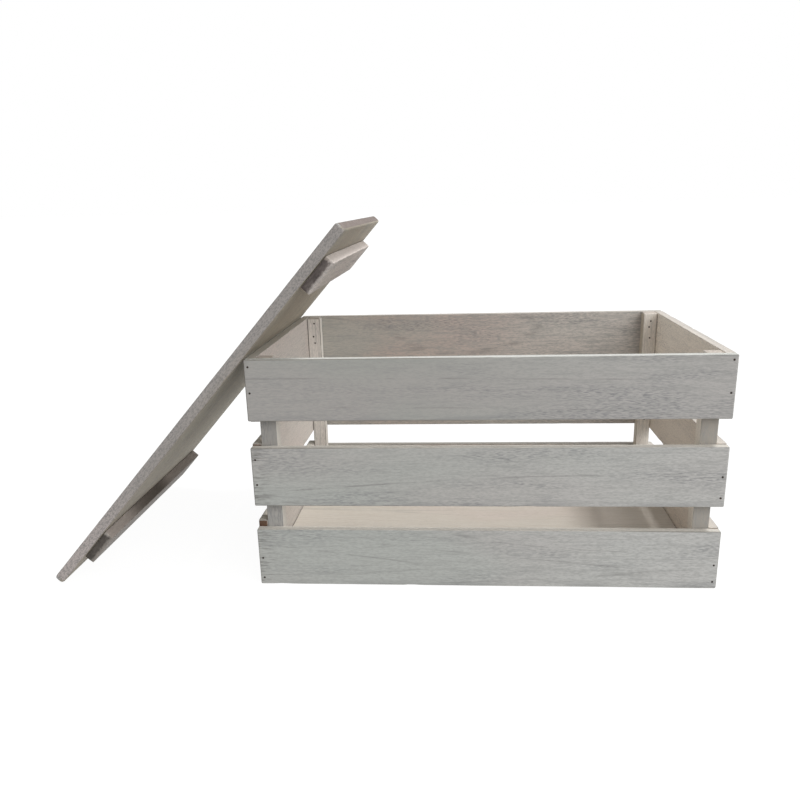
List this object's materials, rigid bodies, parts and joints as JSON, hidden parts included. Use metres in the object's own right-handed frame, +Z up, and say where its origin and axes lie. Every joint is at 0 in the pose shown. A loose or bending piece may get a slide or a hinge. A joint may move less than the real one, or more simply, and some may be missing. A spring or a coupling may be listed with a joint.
{
  "type": "wooden toy box",
  "caption": "Slatted, whitewashed wooden toy crate with corner posts, a plain bottom sheet and a loose battened lid that leans on its left end.",
  "frame": {"origin": "centre of the crate's footprint, on the floor that the crate stands on", "axes": "+X to the right along the crate's length, +Y to the rear, +Z up; the front is at -Y and the lid leans on the -X end"},
  "size_m": [0.6502, 0.306, 0.3428],
  "materials": {
    "washed_slat": "thin grey-white wash over open grain, matt",
    "washed_post": "thin grey-white wash, matt",
    "bottom_sheet": "pale smooth sheet, thin wash",
    "washed_lid": "thin grey-white wash over open grain, matt",
    "washed_batten": "thin grey-white wash, dark raw end grain",
    "nail_steel": "dull dark steel"
  },
  "bodies": {
    "crate": {"front_slat_low": "washed_slat", "front_slat_middle": "washed_slat", "front_slat_top": "washed_slat", "rear_slat_low": "washed_slat", "rear_slat_middle": "washed_slat", "rear_slat_top": "washed_slat", "left_slat_low": "washed_slat", "left_slat_middle": "washed_slat", "left_slat_top": "washed_slat", "right_slat_low": "washed_slat", "right_slat_middle": "washed_slat", "right_slat_top": "washed_slat", "corner_post_front_left": "washed_post", "corner_post_front_right": "washed_post", "corner_post_rear_left": "washed_post", "corner_post_rear_right": "washed_post", "bottom_panel": "bottom_sheet", "front_slat_nails": "nail_steel", "rear_slat_nails": "nail_steel", "corner_post_nails": "nail_steel", "bottom_panel_nails": "nail_steel"},
    "lid": {"lid_panel": "washed_lid", "lid_batten_lower": "washed_batten", "lid_batten_upper": "washed_batten", "lid_nails": "nail_steel"}
  },
  "joints": [
    {"name": "lid_lift", "type": "slide", "parent": "crate", "child": "lid", "axis": [0, 0, 1], "range_m": [0, 0.25]}
  ]
}
